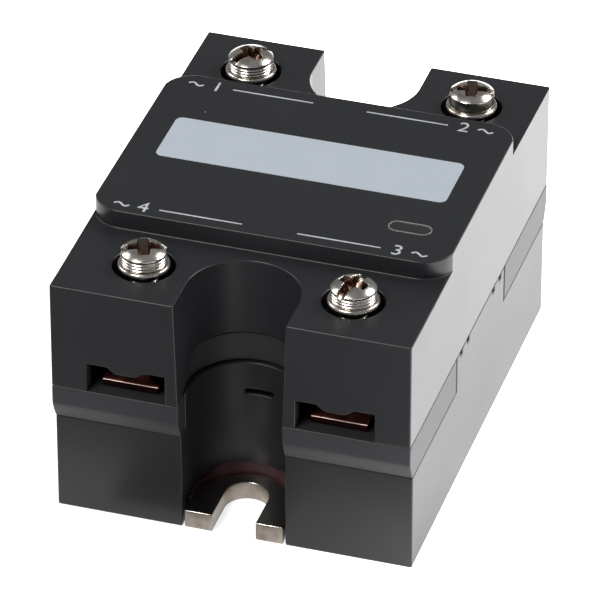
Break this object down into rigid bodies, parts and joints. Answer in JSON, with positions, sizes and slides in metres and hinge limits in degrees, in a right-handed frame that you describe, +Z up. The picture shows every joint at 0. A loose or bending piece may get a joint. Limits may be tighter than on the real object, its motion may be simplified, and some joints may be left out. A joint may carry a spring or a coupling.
{
  "type": "solid state relay",
  "caption": "Panel-mount solid state relay: black moulded case on a metal base plate with slotted end bays and four screw clamp terminals that travel down their wells.",
  "frame": {"origin": "middle of the base plate underside, which is the face that meets the heat sink", "axes": "+Z up from the heat sink through the cover; +Y along the length, towards the load terminals; +X to the right when the input terminals face the viewer"},
  "size_m": [0.044, 0.06, 0.0348],
  "materials": {
    "plate_metal": "nickel-plated, smooth top, sheared edges",
    "seal": "dark red silicone bead",
    "housing_plastic": "moulded black, semi-matte",
    "carrier_plastic": "moulded dark grey-black, matte",
    "cover_plastic": "moulded black, fine satin grain",
    "marking_foil": "pale blue-grey print",
    "lens_plastic": "smoked clear, polished",
    "ceramic": "fired alumina",
    "gel": "cloudy silicone gel",
    "board": "green solder mask",
    "chip_plastic": "moulded epoxy",
    "capacitor_case": "yellow moulded case",
    "resistor_body": "tan lacquer",
    "nickel_steel": "nickel-plated steel, turned rings",
    "copper": "bare copper, slightly oxidised",
    "tinned_wire": "tinned copper wire",
    "silicon": "polished silicon die"
  },
  "bodies": {
    "relay_case": {"base_plate": "plate_metal", "base_seal": "seal", "lower_housing": "housing_plastic", "terminal_carrier_front": "carrier_plastic", "terminal_carrier_rear": "carrier_plastic", "top_cover": "cover_plastic", "marking_panel": "marking_foil", "light_pipe": "lens_plastic", "indicator_led": "lens_plastic", "ceramic_substrate": "ceramic", "potting_gel": "gel", "control_board": "board", "optocoupler": "chip_plastic", "bridge_rectifier": "chip_plastic", "snubber_capacitor": "capacitor_case", "snubber_resistor": "resistor_body", "input_resistor": "resistor_body", "clamp_nut_front_left": "nickel_steel", "clamp_nut_front_right": "nickel_steel", "clamp_nut_rear_left": "nickel_steel", "clamp_nut_rear_right": "nickel_steel", "input_terminal_left": "copper", "load_terminal_left": "copper", "input_jumper_left": "tinned_wire", "copper_pad_left": "copper", "thyristor_die_left": "silicon", "thyristor_clip_left": "copper", "gate_lead_left": "tinned_wire", "input_terminal_right": "copper", "load_terminal_right": "copper", "input_jumper_right": "tinned_wire", "copper_pad_right": "copper", "thyristor_die_right": "silicon", "thyristor_clip_right": "copper", "gate_lead_right": "tinned_wire"},
    "clamp_washer_front_left": {"screw_washer_front_left": "nickel_steel"},
    "clamp_screw_front_left": {"terminal_screw_front_left": "nickel_steel"},
    "clamp_washer_front_right": {"screw_washer_front_right": "nickel_steel"},
    "clamp_screw_front_right": {"terminal_screw_front_right": "nickel_steel"},
    "clamp_washer_rear_left": {"screw_washer_rear_left": "nickel_steel"},
    "clamp_screw_rear_left": {"terminal_screw_rear_left": "nickel_steel"},
    "clamp_washer_rear_right": {"screw_washer_rear_right": "nickel_steel"},
    "clamp_screw_rear_right": {"terminal_screw_rear_right": "nickel_steel"}
  },
  "joints": [
    {"name": "screw_travel_front_left", "type": "slide", "parent": "relay_case", "child": "clamp_washer_front_left", "axis": [0, 0, -1], "range_m": [0, 0.0126]},
    {"name": "screw_turn_front_left", "type": "hinge", "parent": "clamp_washer_front_left", "child": "clamp_screw_front_left", "pos_m": [-0.0128, -0.0226, 0.034], "axis": [0, 0, -1], "range_deg": [0, 7561]},
    {"name": "screw_travel_front_right", "type": "slide", "parent": "relay_case", "child": "clamp_washer_front_right", "axis": [0, 0, -1], "range_m": [0, 0.0126]},
    {"name": "screw_turn_front_right", "type": "hinge", "parent": "clamp_washer_front_right", "child": "clamp_screw_front_right", "pos_m": [0.0128, -0.0226, 0.034], "axis": [0, 0, -1], "range_deg": [0, 7561]},
    {"name": "screw_travel_rear_left", "type": "slide", "parent": "relay_case", "child": "clamp_washer_rear_left", "axis": [0, 0, -1], "range_m": [0, 0.0126]},
    {"name": "screw_turn_rear_left", "type": "hinge", "parent": "clamp_washer_rear_left", "child": "clamp_screw_rear_left", "pos_m": [-0.0141, 0.0226, 0.034], "axis": [0, 0, -1], "range_deg": [0, 7561]},
    {"name": "screw_travel_rear_right", "type": "slide", "parent": "relay_case", "child": "clamp_washer_rear_right", "axis": [0, 0, -1], "range_m": [0, 0.0126]},
    {"name": "screw_turn_rear_right", "type": "hinge", "parent": "clamp_washer_rear_right", "child": "clamp_screw_rear_right", "pos_m": [0.0141, 0.0226, 0.034], "axis": [0, 0, -1], "range_deg": [0, 7561]}
  ],
  "couplings": [
    {"joint": "screw_turn_front_left", "follows": "screw_travel_front_left", "rad_per_m": 10472},
    {"joint": "screw_turn_front_right", "follows": "screw_travel_front_right", "rad_per_m": 10472},
    {"joint": "screw_turn_rear_left", "follows": "screw_travel_rear_left", "rad_per_m": 10472},
    {"joint": "screw_turn_rear_right", "follows": "screw_travel_rear_right", "rad_per_m": 10472}
  ]
}
